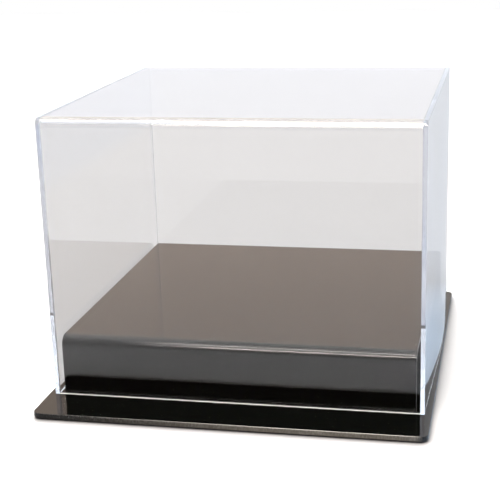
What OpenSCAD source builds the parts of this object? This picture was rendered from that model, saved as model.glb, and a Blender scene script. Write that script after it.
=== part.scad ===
// Display case: clear lift-off cover over a black riser on a black base plate.
// Origin: middle of the base plate's outline, on the surface the foot pads stand on.
// +X is the case's right, +Y its back and +Z up. All sizes are in millimetres.

/* [Cover] */
// Outside width of the cover
cover_w = 266; // [200:1:400]
// Outside depth of the cover
cover_d = 265; // [200:1:400]
// Height of the cover
cover_h = 202; // [120:1:300]
// Thickness of the clear sheet
sheet_t = 3; // [2:0.5:4]
// Outside radius of the two bends in the sheet
cover_bend_r = 7; // [5:0.5:12]
// Radius of the side panels' two upper corners
panel_corner_r = 5; // [3:0.5:12]
// Height at which the cover's lower edge stands over the base plate
seat_gap = 0.1; // [0.1:0.1:0.5]

/* [Riser] */
// Height of the riser's top above the base plate
riser_h = 43; // [25:1:80]
// Thickness of the riser's sheet
riser_t = 3; // [2:0.5:5]
// Outside radius of the riser's two bends
riser_bend_r = 7.5; // [6:0.5:15]
// Room between each end of the riser and the cover
riser_side_gap = 3; // [1:0.5:10]
// Room between the riser's front and back and the cover
riser_face_gap = 1.75; // [0.5:0.25:8]

/* [Base plate] */
// Thickness of the base plate
plate_t = 4; // [3:0.5:8]
// How far the plate reaches past the cover on the left and right
side_margin = 4.75; // [2:0.25:30]
// How far the plate reaches past the cover at the back
back_margin = 8.5; // [2:0.25:30]
// Depth of the ledge in front of the cover
front_ledge = 35.5; // [5:0.5:80]
// Radius of the plate's four upright corners
plate_corner_r = 6; // [3:0.5:15]
// Bevel along the plate's lower edge
low_bevel = 0.5; // [0.2:0.1:1.2]
// Bevel along the plate's upper edge
top_bevel = 0.3; // [0.1:0.1:1.2]

/* [Foot pads] */
// Diameter of a foot pad
foot_d = 12; // [8:1:25]
// Height of a foot pad
foot_h = 0.8; // [0.8:0.2:4]
// Distance of each pad's middle from the plate's edges
foot_inset = 16; // [15:1:40]

/* [Hidden] */
$fn = 96;
plate_w = cover_w + 2 * side_margin;
plate_d = front_ledge + cover_d + back_margin;
deck_z = foot_h + plate_t;
cover_z = deck_z + seat_gap;
cover_top = cover_z + cover_h;
cover_front = -plate_d / 2 + front_ledge;
cover_back = cover_front + cover_d;
inner_w = cover_w - 2 * sheet_t;
riser_w = inner_w - 2 * riser_side_gap;
riser_front = cover_front + sheet_t + riser_face_gap;
riser_back = cover_back - sheet_t - riser_face_gap;
riser_top = deck_z + riser_h;
foot_x = plate_w / 2 - foot_inset;
foot_y = plate_d / 2 - foot_inset;

clear = [0.9, 0.94, 0.97, 0.3];
black = [0.02, 0.02, 0.02];
pad_grey = [0.12, 0.12, 0.12];

// Round bar along X, its axis at the given depth and height.
module bar_x(len, r, y, z) {
  translate([-len / 2, y, z])
    rotate([0, 90, 0])
      cylinder(h = len, r = r);
}

// Block given by its width along X and its limits in Y and Z.
module block(len, y0, y1, z0, z1) {
  translate([-len / 2, y0, z0])
    cube([len, y1 - y0, z1 - z0]);
}

// Outline of a bent sheet seen from its end: square at the foot, round at the two top corners.
module arch(len, y0, y1, z0, z1, r) {
  block(len, y0, y1, z0, z1 - r);
  block(len, y0 + r, y1 - r, z0, z1);
  bar_x(len, r, y0 + r, z1 - r);
  bar_x(len, r, y1 - r, z1 - r);
}

// One sheet bent twice, with a front leg, a top and a back leg.
module bent_sheet(len, y0, y1, z0, z1, r, t) {
  through = 1;
  difference() {
    arch(len, y0, y1, z0, z1, r);
    arch(len + 2 * through, y0 + t, y1 - t, z0 - through, z1 - t, r - t);
  }
}

module cover_wrap() {
  color(clear)
    bent_sheet(inner_w, cover_front, cover_back, cover_z, cover_top, cover_bend_r, sheet_t);
}

// Flat panel over the ends of the bent sheet, on the left (-1) or the right (1).
module side_panel(side) {
  color(clear)
    translate([side * (cover_w - sheet_t) / 2, 0, 0])
      arch(sheet_t, cover_front, cover_back, cover_z, cover_top, panel_corner_r);
}

module riser() {
  color(black)
    bent_sheet(riser_w, riser_front, riser_back, deck_z, riser_top, riser_bend_r, riser_t);
}

// Rectangle with its corners cut back by the given amounts, for the plate's bevelled sides.
module bevelled_side(len) {
  polygon([
    [-len / 2 + low_bevel, 0],
    [len / 2 - low_bevel, 0],
    [len / 2, low_bevel],
    [len / 2, plate_t - top_bevel],
    [len / 2 - top_bevel, plate_t],
    [-len / 2 + top_bevel, plate_t],
    [-len / 2, plate_t - top_bevel],
    [-len / 2, low_bevel]
  ]);
}

// Upright corner of the plate with the same bevels.
module plate_corner() {
  rotate_extrude()
    polygon([
      [0, 0],
      [plate_corner_r - low_bevel, 0],
      [plate_corner_r, low_bevel],
      [plate_corner_r, plate_t - top_bevel],
      [plate_corner_r - top_bevel, plate_t],
      [0, plate_t]
    ]);
}

module base_plate() {
  straight_x = plate_w - 2 * plate_corner_r;
  straight_y = plate_d - 2 * plate_corner_r;
  color(black)
    translate([0, 0, foot_h]) {
      rotate([90, 0, 90])
        linear_extrude(height = straight_x, center = true)
          bevelled_side(plate_d);
      rotate([90, 0, 0])
        linear_extrude(height = straight_y, center = true)
          bevelled_side(plate_w);
      for (sx = [-1, 1], sy = [-1, 1])
        translate([sx * straight_x / 2, sy * straight_y / 2, 0])
          plate_corner();
    }
}

// Pad on the left (-1) or right (1), at the front (-1) or back (1).
module foot(side, end) {
  color(pad_grey)
    translate([side * foot_x, end * foot_y, 0])
      cylinder(h = foot_h, d = foot_d);
}

cover_wrap();
side_panel(-1);  // cover_left_panel
side_panel(1);  // cover_right_panel
riser();
base_plate();
foot(-1, -1);  // foot_front_left
foot(1, -1);  // foot_front_right
foot(-1, 1);  // foot_back_left
foot(1, 1);  // foot_back_right
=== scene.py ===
import math

import bmesh
import bpy
from mathutils import Matrix, Vector


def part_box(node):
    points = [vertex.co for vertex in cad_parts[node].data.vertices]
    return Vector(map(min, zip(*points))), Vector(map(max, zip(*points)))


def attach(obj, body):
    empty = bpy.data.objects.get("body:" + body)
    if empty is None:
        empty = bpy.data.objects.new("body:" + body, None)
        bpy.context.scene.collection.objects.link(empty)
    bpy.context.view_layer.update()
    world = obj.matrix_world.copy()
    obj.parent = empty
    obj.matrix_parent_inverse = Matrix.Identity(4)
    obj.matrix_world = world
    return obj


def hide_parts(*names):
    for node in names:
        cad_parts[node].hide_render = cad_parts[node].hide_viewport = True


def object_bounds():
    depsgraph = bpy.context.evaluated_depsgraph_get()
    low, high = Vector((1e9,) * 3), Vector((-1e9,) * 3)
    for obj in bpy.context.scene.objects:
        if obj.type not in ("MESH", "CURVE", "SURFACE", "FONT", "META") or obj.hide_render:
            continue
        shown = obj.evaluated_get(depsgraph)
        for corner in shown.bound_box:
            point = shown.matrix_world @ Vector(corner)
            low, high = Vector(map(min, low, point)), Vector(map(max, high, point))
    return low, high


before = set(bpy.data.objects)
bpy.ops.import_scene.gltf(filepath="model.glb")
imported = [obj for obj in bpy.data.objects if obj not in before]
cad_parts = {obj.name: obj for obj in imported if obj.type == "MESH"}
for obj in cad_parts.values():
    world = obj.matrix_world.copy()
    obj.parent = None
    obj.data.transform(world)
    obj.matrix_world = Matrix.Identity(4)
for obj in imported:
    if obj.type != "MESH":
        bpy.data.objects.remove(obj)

# Clear lift-off cover over a black riser on a black base plate. Metres, +X right, +Y back, +Z up.

MM = 0.001
ACRYLIC_IOR = 1.49
CAD_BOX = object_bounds()
BASE_BODY = "base"
COVER_BODY = "cover"
COVER_BEND_R = 7.0 * MM
PANEL_CORNER_R = 5.0 * MM
COVER_EASE = 0.2 * MM
RISER_SHEET = 3.0 * MM
RISER_BEND_R = 7.5 * MM
RISER_EASE = 0.3 * MM
ARC_STEPS = 14
# Air left between cemented faces, so that each sheet stays a closed body of its own
JOINT_AIR = 0.03 * MM
# How far the right panel's lower edge stands out at most
RIGHT_BOW = 4.0 * MM
# Above 1, this moves the furthest point of the bow towards the back
BOW_LEAN = 1.36
# How fast the bow fades towards the top
BOW_FADE = 1.2
BOW_CUTS = 24
CUT_TOLERANCE = 1e-7
PLATE_CORNER_R = 6.0 * MM
PLATE_LOW_BEVEL = 0.5 * MM
PLATE_TOP_BEVEL = 0.3 * MM
PLATE_CORNER_STEPS = 16
# Edges that turn by more than this are shaded sharp
SHARP_ANGLE = math.radians(35)
# Edges that turn by more than this are eased
EASED_ANGLE = math.radians(60)
EASE_STEPS = 2


# ---------------------------------------------------------------- camera and light

LENS_MM = 87.0
SENSOR_MM = 36.0
CLIP_NEAR = 0.05
CLIP_FAR = 50.0
CAMERA_AT = Vector((0.1844, -0.8851, 0.3434))
CAMERA_YAW = math.radians(-12.49)
CAMERA_PITCH = math.radians(16.02)
CAMERA_ROLL = math.radians(-1.74)


def make_camera():
    """Camera about a metre away, a little to the right of the case and looking down on it."""
    data = bpy.data.cameras.new("camera")
    data.lens = LENS_MM
    data.sensor_width = SENSOR_MM
    data.clip_start = CLIP_NEAR
    data.clip_end = CLIP_FAR
    level = Vector((math.sin(CAMERA_YAW), math.cos(CAMERA_YAW), 0.0))
    forward = level * math.cos(CAMERA_PITCH) - Vector((0, 0, math.sin(CAMERA_PITCH)))
    right = Vector((math.cos(CAMERA_YAW), -math.sin(CAMERA_YAW), 0.0))
    up = right.cross(forward)
    rolled_right = right * math.cos(CAMERA_ROLL) + up * math.sin(CAMERA_ROLL)
    rolled_up = up * math.cos(CAMERA_ROLL) - right * math.sin(CAMERA_ROLL)
    turn = Matrix((rolled_right, rolled_up, -forward)).transposed()
    camera = bpy.data.objects.new("camera", data)
    camera.matrix_world = Matrix.Translation(CAMERA_AT) @ turn.to_4x4()
    bpy.context.scene.collection.objects.link(camera)
    bpy.context.scene.camera = camera


class Nodes:
    """Short way to add and join nodes in one tree."""

    def __init__(self, tree):
        self.tree = tree

    def add(self, kind, **settings):
        """New node with the given settings."""
        node = self.tree.nodes.new(kind)
        for name, value in settings.items():
            setattr(node, name, value)
        return node

    def feed(self, socket, value):
        """Joins an output to a socket, or sets the socket to a plain value."""
        if isinstance(value, bpy.types.NodeSocket):
            self.tree.links.new(value, socket)
        else:
            socket.default_value = value

    def math(self, operation, a, b=0.0):
        """Result of an operation on one or two numbers."""
        node = self.add("ShaderNodeMath", operation=operation)
        self.feed(node.inputs[0], a)
        self.feed(node.inputs[1], b)
        return node.outputs[0]

    def times(self, *factors):
        """Product of two or more numbers."""
        product = factors[0]
        for factor in factors[1:]:
            product = self.math("MULTIPLY", product, factor)
        return product

    def ramp(self, value, low, high, to_low=0.0, to_high=1.0, smooth=False):
        """Runs from to_low to to_high as the value runs from low to high, and stays there beyond."""
        kind = "SMOOTHSTEP" if smooth else "LINEAR"
        node = self.add("ShaderNodeMapRange", interpolation_type=kind)
        self.feed(node.inputs["Value"], value)
        self.feed(node.inputs["From Min"], low)
        self.feed(node.inputs["From Max"], high)
        self.feed(node.inputs["To Min"], to_low)
        self.feed(node.inputs["To Max"], to_high)
        return node.outputs["Result"]

    def mix(self, factor, a, b, blend="MIX"):
        """Two colours mixed, or blended in another way."""
        node = self.add("ShaderNodeMix", data_type="RGBA", blend_type=blend)
        self.feed(node.inputs["Factor"], factor)
        self.feed(node.inputs[6], a)
        self.feed(node.inputs[7], b)
        return node.outputs[2]

    def noise(self, vector, scale, detail=2.0, roughness=0.5):
        """Cloudy noise between 0 and 1."""
        node = self.add("ShaderNodeTexNoise")
        self.feed(node.inputs["Vector"], vector)
        node.inputs["Scale"].default_value = scale
        node.inputs["Detail"].default_value = detail
        node.inputs["Roughness"].default_value = roughness
        return node.outputs["Fac"]

    def stretched(self, vector, scales):
        """Place scaled by a different amount along X, Y and Z."""
        node = self.add("ShaderNodeMapping")
        self.feed(node.inputs["Vector"], vector)
        node.inputs["Scale"].default_value = scales
        return node.outputs["Vector"]

    def split(self, vector):
        """The vector's X, Y and Z."""
        node = self.add("ShaderNodeSeparateXYZ")
        self.feed(node.inputs[0], vector)
        return node.outputs["X"], node.outputs["Y"], node.outputs["Z"]

    def bump(self, height, distance, strength=1.0, normal=None):
        """Normal of a surface raised by the height."""
        node = self.add("ShaderNodeBump")
        self.feed(node.inputs["Height"], height)
        node.inputs["Distance"].default_value = distance
        node.inputs["Strength"].default_value = strength
        if normal is not None:
            self.feed(node.inputs["Normal"], normal)
        return node.outputs["Normal"]


def lobe(nodes, direction, towards, spread):
    """1 towards a point of the sky, falling smoothly to 0 at the spread's angle from it."""
    node = nodes.add("ShaderNodeVectorMath", operation="DOT_PRODUCT")
    nodes.feed(node.inputs[0], direction)
    node.inputs[1].default_value = Vector(towards).normalized()
    return nodes.ramp(node.outputs["Value"], math.cos(spread), 1.0, smooth=True)


WHITE = (1.0, 1.0, 1.0, 1)
NO_LIGHT = (0, 0, 0, 1)
# The sky's colours, and the limits between which one turns into the next. A limit is the height (Z),
# the side (X) or the depth (Y) of the direction in which the sky is seen.
HORIZON = (0.97, 0.98, 1.03, 1)
BACK_WALL = (1.02, 0.82, 0.68, 1)
BACK_MIDDLE = (0.90, 0.90, 0.92, 1)
RIGHT_SIDE = (1.15, 1.22, 1.32, 1)
OVERHEAD = (1.80, 1.76, 1.72, 1)
MIDDLE_LEFT_LIMITS = (-0.085, -0.01)
MIDDLE_RIGHT_LIMITS = (0.22, 0.12)
RIGHT_SIDE_LIMITS = (0.38, 0.60)
WALL_LIMITS = (0.17, 0.26)
OVERHEAD_LIMITS = (0.34, 0.66)
FRONT_LIMITS = (-0.6, 0.2)
FRONT_SHARE = 0.12
# Main light, behind the case and a little to its left
KEY_TOWARDS = (-0.20, 0.75, 0.60)
KEY_SPREAD = math.radians(26)
KEY_COLOUR = (17.0, 17.0, 17.0, 1)
# Long lamps across the front, by their angle up from the front horizon
HIGH_LAMP_ANGLE = math.radians(69)
HIGH_LAMP_COLOUR = (62.0, 57.0, 53.0, 1)
LOW_LAMP_ANGLE = math.radians(43)
LOW_LAMP_COLOUR = (26.0, 23.5, 21.4, 1)
LAMP_HALF_HEIGHT = math.radians(4.5)
# The middle part of a lamp, as a share of its height, that has its full brightness
LAMP_CORE = 0.6
LAMP_LEFT_END = -0.30
LAMP_RIGHT_END = 0.08
LAMP_END_FADE = 0.07


def front_lamp(nodes, direction, angle, colour):
    """Long narrow lamp in front of the case, at the given angle up from the front horizon."""
    side, depth, height = nodes.split(direction)
    ahead = nodes.math("MULTIPLY", depth, -1.0)
    off = nodes.math("SUBTRACT", nodes.math("ARCTAN2", height, ahead), angle)
    band = nodes.ramp(nodes.math("ABSOLUTE", off), LAMP_HALF_HEIGHT, LAMP_HALF_HEIGHT * LAMP_CORE)
    left = nodes.ramp(side, LAMP_LEFT_END, LAMP_LEFT_END + LAMP_END_FADE)
    right = nodes.ramp(side, LAMP_RIGHT_END, LAMP_RIGHT_END - LAMP_END_FADE)
    return nodes.mix(nodes.times(band, left, right), NO_LIGHT, colour)


def soft_sky(nodes, direction):
    """Soft surroundings without the lamps, much darker in front of the case than behind it."""
    side, depth, height = nodes.split(direction)
    middle = nodes.times(
        nodes.ramp(side, *MIDDLE_LEFT_LIMITS, smooth=True),
        nodes.ramp(side, *MIDDLE_RIGHT_LIMITS, smooth=True),
    )
    wall = nodes.mix(middle, BACK_WALL, BACK_MIDDLE)
    wall = nodes.mix(nodes.ramp(side, *RIGHT_SIDE_LIMITS, smooth=True), wall, RIGHT_SIDE)
    low = nodes.mix(nodes.ramp(height, *WALL_LIMITS, smooth=True), HORIZON, wall)
    sky = nodes.mix(nodes.ramp(height, *OVERHEAD_LIMITS, smooth=True), low, OVERHEAD)
    shaded = nodes.add("ShaderNodeVectorMath", operation="SCALE")
    nodes.feed(shaded.inputs[0], sky)
    nodes.feed(shaded.inputs["Scale"], nodes.ramp(depth, *FRONT_LIMITS, FRONT_SHARE, 1.0, smooth=True))
    return shaded.outputs[0]


def make_world():
    """Studio: plain white where the camera sees it straight, soft light and lamps for everything else."""
    world = bpy.data.worlds.new("studio")
    world.use_nodes = True
    world.node_tree.nodes.clear()
    nodes = Nodes(world.node_tree)
    direction = nodes.add("ShaderNodeTexCoord").outputs["Generated"]
    path = nodes.add("ShaderNodeLightPath")
    # The main light is only for rays that have met a matt surface, so that no gloss mirrors it
    met_matt = nodes.math("MINIMUM", path.outputs["Diffuse Depth"], 1.0)
    key_share = nodes.times(lobe(nodes, direction, KEY_TOWARDS, KEY_SPREAD), met_matt)
    lights = [
        nodes.mix(key_share, NO_LIGHT, KEY_COLOUR),
        front_lamp(nodes, direction, HIGH_LAMP_ANGLE, HIGH_LAMP_COLOUR),
        front_lamp(nodes, direction, LOW_LAMP_ANGLE, LOW_LAMP_COLOUR),
    ]
    total = soft_sky(nodes, direction)
    for light in lights:
        total = nodes.mix(1.0, total, light, "ADD")
    back = nodes.add("ShaderNodeBackground")
    nodes.feed(back.inputs["Color"], nodes.mix(path.outputs["Is Camera Ray"], total, WHITE))
    out = nodes.add("ShaderNodeOutputWorld")
    nodes.feed(out.inputs["Surface"], back.outputs[0])
    bpy.context.scene.world = world


FLOOR_HALF = 3.0
FLOOR_DROP = 0.05 * MM
FLOOR_ROUGHNESS = 0.7
FLOOR_BACK = (0.257, 0.263, 0.266, 1)
FLOOR_FRONT = (0.275, 0.285, 0.298, 1)
# Painted bluish shade towards the right and a painted pool of light beside the right panel, seen only in
# the case's reflections and through it
FLOOR_RIGHT_PAINTED_SHADE = (0.86, 0.94, 1.07, 1)
FLOOR_BESIDE_PAINTED_LIGHT = (1.50, 1.75, 2.0, 1)
FLOOR_DEPTH_LIMITS = (-0.30, 0.0)
FLOOR_RIGHT_LIMITS = (0.10, 0.17)
# The painted pool of light beside the right panel, which lifts the shade there: its left, right, back and
# front borders, each from 0 to full
BESIDE_LEFT = (0.12, 0.135)
BESIDE_RIGHT = (0.24, 0.16)
BESIDE_BACK = (0.20, 0.04)
BESIDE_FRONT = (-0.24, -0.12)
# Bright enough to come out white where the camera sees it straight
FLOOR_SEEN = (0.62, 0.625, 0.635, 1)
# Darkest colour of the painted contact shade under and beside the case, seen by the camera only
FLOOR_CONTACT_SHADE = (0.22, 0.22, 0.23, 1)
CONTACT_REACH = 9 * MM
CONTACT_LIMITS = (0.45, 0.97)
CONTACT_SAMPLES = 6


def floor_grey(nodes):
    """The floor as the case shows it: a little brighter and bluer in front, painted bluish shade to the
    right, and a painted pool of light close beside the right panel.
    """
    side, depth, _ = nodes.split(object_place(nodes))
    grey = nodes.mix(nodes.ramp(depth, *FLOOR_DEPTH_LIMITS, smooth=True), FLOOR_FRONT, FLOOR_BACK)
    to_right = nodes.ramp(side, *FLOOR_RIGHT_LIMITS, smooth=True)
    # Painted bluish shade towards the right
    grey = nodes.mix(to_right, grey, FLOOR_RIGHT_PAINTED_SHADE, "MULTIPLY")
    beside = nodes.times(
        nodes.ramp(side, *BESIDE_LEFT),
        nodes.ramp(side, *BESIDE_RIGHT),
        nodes.ramp(depth, *BESIDE_BACK),
        nodes.ramp(depth, *BESIDE_FRONT),
    )
    # Painted pool of light beside the right panel
    return nodes.mix(beside, grey, FLOOR_BESIDE_PAINTED_LIGHT, "MULTIPLY")


def contact_shade(nodes):
    """Pale floor with a painted contact shade where something stands close over it."""
    near = nodes.add("ShaderNodeAmbientOcclusion", samples=CONTACT_SAMPLES)
    near.inputs["Distance"].default_value = CONTACT_REACH
    return nodes.mix(nodes.ramp(near.outputs["AO"], *CONTACT_LIMITS), FLOOR_CONTACT_SHADE, FLOOR_SEEN)


def make_floor():
    """Pale floor that the case stands on, greyer in the case's reflections than to the camera, with
    painted shade and light in its colour.
    """
    mesh = bpy.data.meshes.new("floor")
    corners = [(-1, -1), (1, -1), (1, 1), (-1, 1)]
    points = [(x * FLOOR_HALF, y * FLOOR_HALF, -FLOOR_DROP) for x, y in corners]
    mesh.from_pydata(points, [], [(0, 1, 2, 3)])
    floor = bpy.data.objects.new("floor", mesh)
    bpy.context.scene.collection.objects.link(floor)
    material, shader, nodes = new_material("floor")
    seen = nodes.add("ShaderNodeLightPath").outputs["Is Camera Ray"]
    nodes.feed(shader.inputs["Base Color"], nodes.mix(seen, floor_grey(nodes), contact_shade(nodes)))
    shader.inputs["Roughness"].default_value = FLOOR_ROUGHNESS
    mesh.materials.append(material)


# ---------------------------------------------------------------- materials

# Noise scales are in cycles per metre. Where there are three, they are along X, Y and Z.


def new_material(name):
    """Material with an empty tree but for a shader, which is returned with it."""
    material = bpy.data.materials.new(name)
    material.use_nodes = True
    tree = material.node_tree
    tree.nodes.clear()
    nodes = Nodes(tree)
    shader = nodes.add("ShaderNodeBsdfPrincipled")
    out = nodes.add("ShaderNodeOutputMaterial")
    nodes.feed(out.inputs["Surface"], shader.outputs[0])
    shader.inputs["IOR"].default_value = ACRYLIC_IOR
    return material, shader, nodes


def object_place(nodes):
    """Place on the object, in metres."""
    return nodes.add("ShaderNodeTexCoord").outputs["Object"]


HAIR_LIMITS = (0.655, 0.68)
HAIR_BREAK_LIMITS = (0.5, 0.62)


def scratches(nodes, place, along, across):
    """Thin hairlines that run mostly one way, 1 on a line and 0 off it."""
    lines = nodes.noise(nodes.stretched(place, along), 1.0, 1.0)
    breaks = nodes.noise(nodes.stretched(place, across), 1.0, 2.0)
    return nodes.times(nodes.ramp(lines, *HAIR_LIMITS), nodes.ramp(breaks, *HAIR_BREAK_LIMITS))


CLEAR_COLOUR = (0.98, 0.98, 0.99, 1)
CLEAR_SMEAR_SCALE = 38.0
CLEAR_SMEAR_ROUGHNESS = 0.02
CLEAR_HAIR_SCALES = (900, 900, 14)
CLEAR_HAIR_BREAKS = (20, 20, 20)
CLEAR_HAIR_ROUGHNESS = 0.05
CLEAR_HAIR_DEPTH = 0.0005 * MM
CLEAR_WAVE_SCALE = 22.0
CLEAR_WAVE_DEPTH = 0.0005 * MM


def clear_sheet():
    """Polished clear sheet, with a slow waviness, faint smears and a few hairlines."""
    material, shader, nodes = new_material("clear_acrylic_sheet")
    place = object_place(nodes)
    shader.inputs["Base Color"].default_value = CLEAR_COLOUR
    shader.inputs["Transmission Weight"].default_value = 1.0
    smears = nodes.noise(place, CLEAR_SMEAR_SCALE, 4.0, 0.6)
    hair = scratches(nodes, place, CLEAR_HAIR_SCALES, CLEAR_HAIR_BREAKS)
    rough = nodes.ramp(smears, 0.5, 0.8, 0.0, CLEAR_SMEAR_ROUGHNESS)
    rough = nodes.math("ADD", rough, nodes.times(hair, CLEAR_HAIR_ROUGHNESS))
    nodes.feed(shader.inputs["Roughness"], rough)
    wavy = nodes.bump(nodes.noise(place, CLEAR_WAVE_SCALE, 0.0), CLEAR_WAVE_DEPTH)
    nodes.feed(shader.inputs["Normal"], nodes.bump(hair, CLEAR_HAIR_DEPTH, 0.5, wavy))
    return material


# One sawn edge in two colours: paler and warmer on the wrap as painted light, darker and bluer on the
# panels as painted shade
WRAP_EDGE_LIT_TINT = (0.96, 0.94, 0.88, 1)
PANEL_EDGE_SHADED_TINT = (0.60, 0.67, 0.72, 1)
SAWN_CLEARNESS = 0.1
SAWN_SCALES = (2600, 2600, 500)
SAWN_DEPTH = 0.02 * MM


def clear_edge(name, tint):
    """Sawn edge of the clear sheet, frosted by fine saw marks, in a tint that is painted light on the
    wrap and painted shade on the panels.
    """
    material, shader, nodes = new_material(name)
    place = object_place(nodes)
    shader.inputs["Base Color"].default_value = tint
    shader.inputs["Transmission Weight"].default_value = SAWN_CLEARNESS
    marks = nodes.noise(nodes.stretched(place, SAWN_SCALES), 1.0, 2.0)
    nodes.feed(shader.inputs["Roughness"], nodes.ramp(marks, 0.3, 0.7, 0.22, 0.42))
    nodes.feed(shader.inputs["Normal"], nodes.bump(marks, SAWN_DEPTH, 0.6))
    return material


# Bluish cast of the polished edges, partly their own and partly painted shade that dims the light let out
# through them
POLISHED_TINT_AND_SHADE = (0.80, 0.83, 0.92, 1)
POLISHED_SCALES = (700, 700, 1400)
POLISHED_DEPTH = 0.004 * MM


def polished_edge():
    """Polished edge of the clear sheet, with the last of the saw marks left in it, and a bluish tint that
    is partly its own and partly painted shade.
    """
    material, shader, nodes = new_material("clear_acrylic_polished_edge")
    place = object_place(nodes)
    shader.inputs["Base Color"].default_value = POLISHED_TINT_AND_SHADE
    shader.inputs["Transmission Weight"].default_value = 1.0
    marks = nodes.noise(nodes.stretched(place, POLISHED_SCALES), 1.0, 2.0)
    nodes.feed(shader.inputs["Roughness"], nodes.ramp(marks, 0.35, 0.75, 0.01, 0.09))
    nodes.feed(shader.inputs["Normal"], nodes.bump(marks, POLISHED_DEPTH, 0.5))
    return material


BLACK = (0.0016, 0.0021, 0.0017, 1)
DUST_COLOUR = (0.30, 0.28, 0.26, 1)
DUST_SCALE = 1500.0
DUST_CLOUD_SCALE = 12.0
DUST_SHARE = 0.03
BLACK_HAIR_SCALES = (16, 900, 900)
BLACK_HAIR_BREAKS = (24, 24, 24)
BLACK_HAIR_ROUGHNESS = 0.08
BLACK_HAIR_DEPTH = 0.002 * MM
BLACK_SMEAR_SCALE = 30.0
BLACK_WAVE_SCALE = 14.0
BLACK_WAVE_DEPTH = 0.015 * MM


def black_acrylic():
    """Black sheet: mirror gloss with faint smears, a little dust and a few hairlines."""
    material, shader, nodes = new_material("black_acrylic_sheet")
    place = object_place(nodes)
    shader.inputs["Specular IOR Level"].default_value = 0.5
    dust = nodes.noise(place, DUST_SCALE, 2.0)
    cloud = nodes.noise(place, DUST_CLOUD_SCALE, 3.0)
    specks = nodes.times(nodes.ramp(dust, 0.70, 0.76), nodes.ramp(cloud, 0.35, 0.7), DUST_SHARE)
    nodes.feed(shader.inputs["Base Color"], nodes.mix(specks, BLACK, DUST_COLOUR))
    hair = scratches(nodes, place, BLACK_HAIR_SCALES, BLACK_HAIR_BREAKS)
    smears = nodes.ramp(nodes.noise(place, BLACK_SMEAR_SCALE, 4.0, 0.6), 0.45, 0.8, 0.015, 0.06)
    rough = nodes.math("ADD", smears, nodes.times(hair, BLACK_HAIR_ROUGHNESS))
    nodes.feed(shader.inputs["Roughness"], rough)
    wavy = nodes.bump(nodes.noise(place, BLACK_WAVE_SCALE, 0.0), BLACK_WAVE_DEPTH)
    nodes.feed(shader.inputs["Normal"], nodes.bump(hair, BLACK_HAIR_DEPTH, 0.5, wavy))
    return material


EDGE_BLACK = (0.002, 0.002, 0.002, 1)
# Pale colour of the sawn edge: partly its frosting, partly a painted highlight
EDGE_FROST_AND_HIGHLIGHT = (0.145, 0.132, 0.114, 1)
# The pale colour, frosting and painted highlight together, is full from this share of the plate's half
# width on, and stops just before its right end
HIGHLIGHT_FULL_AT = 0.45
HIGHLIGHT_END_FROM = 9 * MM
HIGHLIGHT_END_TO = 3 * MM
EDGE_MARK_SCALES = (1800, 1800, 300)
EDGE_MARK_DEPTH = 0.01 * MM


def black_edge():
    """Sawn and scraped edge of the black sheet, frosted, with a painted highlight that makes it paler and
    paler from its left to its right.
    """
    material, shader, nodes = new_material("black_acrylic_edge")
    place = object_place(nodes)
    side, _, _ = nodes.split(place)
    marks = nodes.noise(nodes.stretched(place, EDGE_MARK_SCALES), 1.0, 2.0)
    left = CAD_BOX[0].x
    right = CAD_BOX[1].x
    highlight_ramp = nodes.ramp(side, left, right * HIGHLIGHT_FULL_AT, smooth=True)
    end = nodes.ramp(side, right - HIGHLIGHT_END_TO, right - HIGHLIGHT_END_FROM)
    # Painted highlight: paler towards the right, dark again at the very right end
    pale = nodes.times(highlight_ramp, end, nodes.ramp(marks, 0.2, 0.8, 0.75, 1.0))
    nodes.feed(shader.inputs["Base Color"], nodes.mix(pale, EDGE_BLACK, EDGE_FROST_AND_HIGHLIGHT))
    nodes.feed(shader.inputs["Roughness"], nodes.ramp(marks, 0.3, 0.7, 0.18, 0.34))
    nodes.feed(shader.inputs["Normal"], nodes.bump(marks, EDGE_MARK_DEPTH, 0.6))
    return material


RUBBER_DARK = (0.012, 0.012, 0.013, 1)
RUBBER_PALE = (0.03, 0.03, 0.032, 1)
RUBBER_BLOTCH_SCALE = 220.0
RUBBER_GRAIN_SCALE = 2200.0
RUBBER_GRAIN_DEPTH = 0.03 * MM


def pad_rubber():
    """Dull grainy rubber of the foot pads."""
    material, shader, nodes = new_material("foot_pad_rubber")
    place = object_place(nodes)
    grain = nodes.noise(place, RUBBER_GRAIN_SCALE, 3.0)
    blotches = nodes.ramp(nodes.noise(place, RUBBER_BLOTCH_SCALE), 0.3, 0.7)
    nodes.feed(shader.inputs["Base Color"], nodes.mix(blotches, RUBBER_DARK, RUBBER_PALE))
    nodes.feed(shader.inputs["Roughness"], nodes.ramp(grain, 0.3, 0.7, 0.6, 0.85))
    nodes.feed(shader.inputs["Normal"], nodes.bump(grain, RUBBER_GRAIN_DEPTH, 0.6))
    return material


# ---------------------------------------------------------------- shapes


def new_piece(name, mesh_tool, materials):
    """Object made from a bmesh, smooth but for its real edges."""
    mesh = bpy.data.meshes.new(name)
    bmesh.ops.recalc_face_normals(mesh_tool, faces=mesh_tool.faces)
    mesh_tool.to_mesh(mesh)
    mesh_tool.free()
    for material in materials:
        mesh.materials.append(material)
    mesh.shade_smooth()
    mesh.set_sharp_from_angle(angle=SHARP_ANGLE)
    piece = bpy.data.objects.new(name, mesh)
    bpy.context.scene.collection.objects.link(piece)
    return piece


def ease_edges(piece, width):
    """Takes the sharpness off a piece's edges, as a scraper leaves them."""
    bevel = piece.modifiers.new("eased", "BEVEL")
    bevel.width = width
    bevel.segments = EASE_STEPS
    bevel.limit_method = "ANGLE"
    bevel.angle_limit = EASED_ANGLE
    bevel.harden_normals = True
    weighted = piece.modifiers.new("flat_faces", "WEIGHTED_NORMAL")
    weighted.keep_sharp = True


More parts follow.
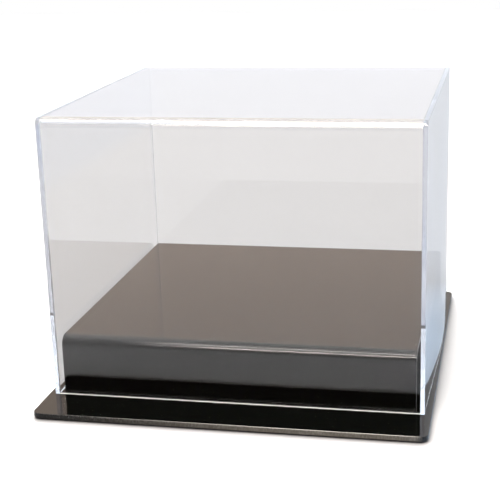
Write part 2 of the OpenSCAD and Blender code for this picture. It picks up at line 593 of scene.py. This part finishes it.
def quarter_arc(y, z, radius, start):
    """Points of a quarter circle about (y, z), turning clockwise from the start angle."""
    points = []
    for step in range(ARC_STEPS + 1):
        turn = start - step * math.pi / 2 / ARC_STEPS
        points.append((y + radius * math.cos(turn), z + radius * math.sin(turn)))
    return points


def arch_path(y0, y1, z0, z1, radius):
    """Points up one side, round two bends and down the other, seen from the sheet's end."""
    front_bend = quarter_arc(y0 + radius, z1 - radius, radius, math.pi)
    back_bend = quarter_arc(y1 - radius, z1 - radius, radius, math.pi / 2)
    return [(y0, z0), *front_bend, *back_bend, (y1, z0)]


def bent_sheet(name, low, high, thick, radius, materials):
    """One sheet bent twice. Materials: its faces, its two long sawn edges, its two ends."""
    outer = arch_path(low.y, high.y, low.z, high.z, radius)
    inner = arch_path(low.y + thick, high.y - thick, low.z, high.z - thick, radius - thick)
    tool = bmesh.new()
    rings = []
    for x in (low.x, high.x):
        out_ring = [tool.verts.new((x, y, z)) for y, z in outer]
        in_ring = [tool.verts.new((x, y, z)) for y, z in inner]
        rings.append((out_ring, in_ring))
    (out_a, in_a), (out_b, in_b) = rings
    for i in range(len(outer) - 1):
        tool.faces.new((out_a[i], out_a[i + 1], out_b[i + 1], out_b[i]))
        tool.faces.new((in_a[i], in_b[i], in_b[i + 1], in_a[i + 1]))
        for out_ring, in_ring in rings:
            end = tool.faces.new((out_ring[i], in_ring[i], in_ring[i + 1], out_ring[i + 1]))
            end.material_index = 2
    for i in (0, -1):
        edge = tool.faces.new((out_a[i], out_b[i], in_b[i], in_a[i]))
        edge.material_index = 1
    return new_piece(name, tool, materials)


def bow_out(tool, low, high, reach):
    """Bows a panel along its free lower edge. Its sides and top, where it is cemented, stay straight."""
    for step in range(1, BOW_CUTS):
        share = step / BOW_CUTS
        for axis in (1, 2):
            point = Vector((0, 0, 0))
            point[axis] = low[axis] + (high[axis] - low[axis]) * share
            normal = Vector((0, 0, 0))
            normal[axis] = 1.0
            bmesh.ops.bisect_plane(
                tool,
                geom=[*tool.verts, *tool.edges, *tool.faces],
                dist=CUT_TOLERANCE,
                plane_co=point,
                plane_no=normal,
            )
    for vert in tool.verts:
        along = (vert.co.y - low.y) / (high.y - low.y)
        above = (vert.co.z - low.z) / (high.z - low.z)
        swell = math.sin(math.pi * min(1.0, max(0.0, along)) ** BOW_LEAN)
        vert.co.x += reach * swell * max(0.0, 1.0 - above) ** BOW_FADE


def flat_panel(name, low, high, radius, materials, bow=0.0):
    """Flat sheet with two rounded top corners. Materials: faces, sawn lower edge, polished edges."""
    outline = arch_path(low.y, high.y, low.z, high.z, radius)
    tool = bmesh.new()
    near = [tool.verts.new((low.x, y, z)) for y, z in outline]
    far = [tool.verts.new((high.x, y, z)) for y, z in outline]
    tool.faces.new(near)
    tool.faces.new(far)
    for i in range(len(outline) - 1):
        edge = tool.faces.new((near[i], near[i + 1], far[i + 1], far[i]))
        edge.material_index = 2
    lower = tool.faces.new((near[-1], near[0], far[0], far[-1]))
    lower.material_index = 1
    if bow:
        bow_out(tool, low, high, bow)
    return new_piece(name, tool, materials)


def rounded_ring(half_x, half_y, radius):
    """Outline of a rectangle with round corners, from its front right corner round."""
    points = []
    for corner, (sx, sy) in enumerate([(1, -1), (1, 1), (-1, 1), (-1, -1)]):
        start = math.radians(-90 + 90 * corner)
        for step in range(PLATE_CORNER_STEPS + 1):
            turn = start + step * math.pi / 2 / PLATE_CORNER_STEPS
            x = sx * (half_x - radius) + radius * math.cos(turn)
            y = sy * (half_y - radius) + radius * math.sin(turn)
            points.append((x, y))
    return points


def plate(name, low, high, materials):
    """Plate with round corners and a bevel above and below. Materials: faces and low bevel, edges."""
    half_x = (high.x - low.x) / 2
    half_y = (high.y - low.y) / 2
    levels = [
        (low.z, PLATE_LOW_BEVEL),
        (low.z + PLATE_LOW_BEVEL, 0.0),
        (high.z - PLATE_TOP_BEVEL, 0.0),
        (high.z, PLATE_TOP_BEVEL),
    ]
    tool = bmesh.new()
    rings = []
    for z, inset in levels:
        outline = rounded_ring(half_x - inset, half_y - inset, PLATE_CORNER_R - inset)
        rings.append([tool.verts.new((x, y, z)) for x, y in outline])
    tool.faces.new(rings[0])
    tool.faces.new(rings[-1])
    count = len(rings[0])
    for level, (lower, upper) in enumerate(zip(rings, rings[1:])):
        for i in range(count):
            j = (i + 1) % count
            side = tool.faces.new((lower[i], lower[j], upper[j], upper[i]))
            side.material_index = 1 if level else 0
    return new_piece(name, tool, materials)


# ---------------------------------------------------------------- the case


def build_cover(sheet, polished):
    """Bent sheet over the front, top and back, and a flat panel on each side of it."""
    # The wrap's sawn edges get painted light, the panels' sawn edges painted shade
    wrap_sawn = clear_edge("clear_acrylic_wrap_edge", WRAP_EDGE_LIT_TINT)
    panel_sawn = clear_edge("clear_acrylic_panel_edge", PANEL_EDGE_SHADED_TINT)
    low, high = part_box("cover_left_panel")
    thick = high.x - low.x
    low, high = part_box("cover_wrap")
    room = Vector((JOINT_AIR, 0, 0))
    looks = [sheet, wrap_sawn, polished]
    wrap = bent_sheet("cover_bent_sheet", low + room, high - room, thick, COVER_BEND_R, looks)
    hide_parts("cover_wrap")
    panels = []
    looks = [sheet, panel_sawn, polished]
    for side, bow in (("left", 0.0), ("right", RIGHT_BOW)):
        node = f"cover_{side}_panel"
        low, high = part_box(node)
        panel = flat_panel(f"cover_{side}_sheet", low, high, PANEL_CORNER_R, looks, bow)
        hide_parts(node)
        panels.append(panel)
    for piece in (wrap, *panels):
        ease_edges(piece, COVER_EASE)
        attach(piece, COVER_BODY)


def build_base(black, edge, rubber):
    """Riser and base plate, and the foot pads, which keep their shape and get a material."""
    low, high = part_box("riser")
    riser = bent_sheet("riser_bent_sheet", low, high, RISER_SHEET, RISER_BEND_R, [black, edge, edge])
    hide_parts("riser")
    ease_edges(riser, RISER_EASE)
    low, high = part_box("base_plate")
    board = plate("base_plate_sheet", low, high, [black, edge])
    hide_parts("base_plate")
    for piece in (riser, board):
        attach(piece, BASE_BODY)
    for name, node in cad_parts.items():
        if name.startswith("foot_"):
            node.material_slots[0].material = rubber


# Light that is caught in a sheet meets its faces many times before it leaves by an edge
GUIDED_BOUNCES = 200
MATT_BOUNCES = 4
TRANSPARENT_BOUNCES = 16


def set_look():
    """Plain colours, and enough bounces for the light inside the sheets."""
    scene = bpy.context.scene
    scene.view_settings.view_transform = "Standard"
    scene.view_settings.look = "None"
    scene.cycles.max_bounces = GUIDED_BOUNCES
    scene.cycles.transmission_bounces = GUIDED_BOUNCES
    scene.cycles.glossy_bounces = GUIDED_BOUNCES
    scene.cycles.diffuse_bounces = MATT_BOUNCES
    scene.cycles.transparent_max_bounces = TRANSPARENT_BOUNCES
    scene.cycles.blur_glossy = 0.0


make_camera()
make_world()
make_floor()
build_cover(clear_sheet(), polished_edge())
build_base(black_acrylic(), black_edge(), pad_rubber())
set_look()
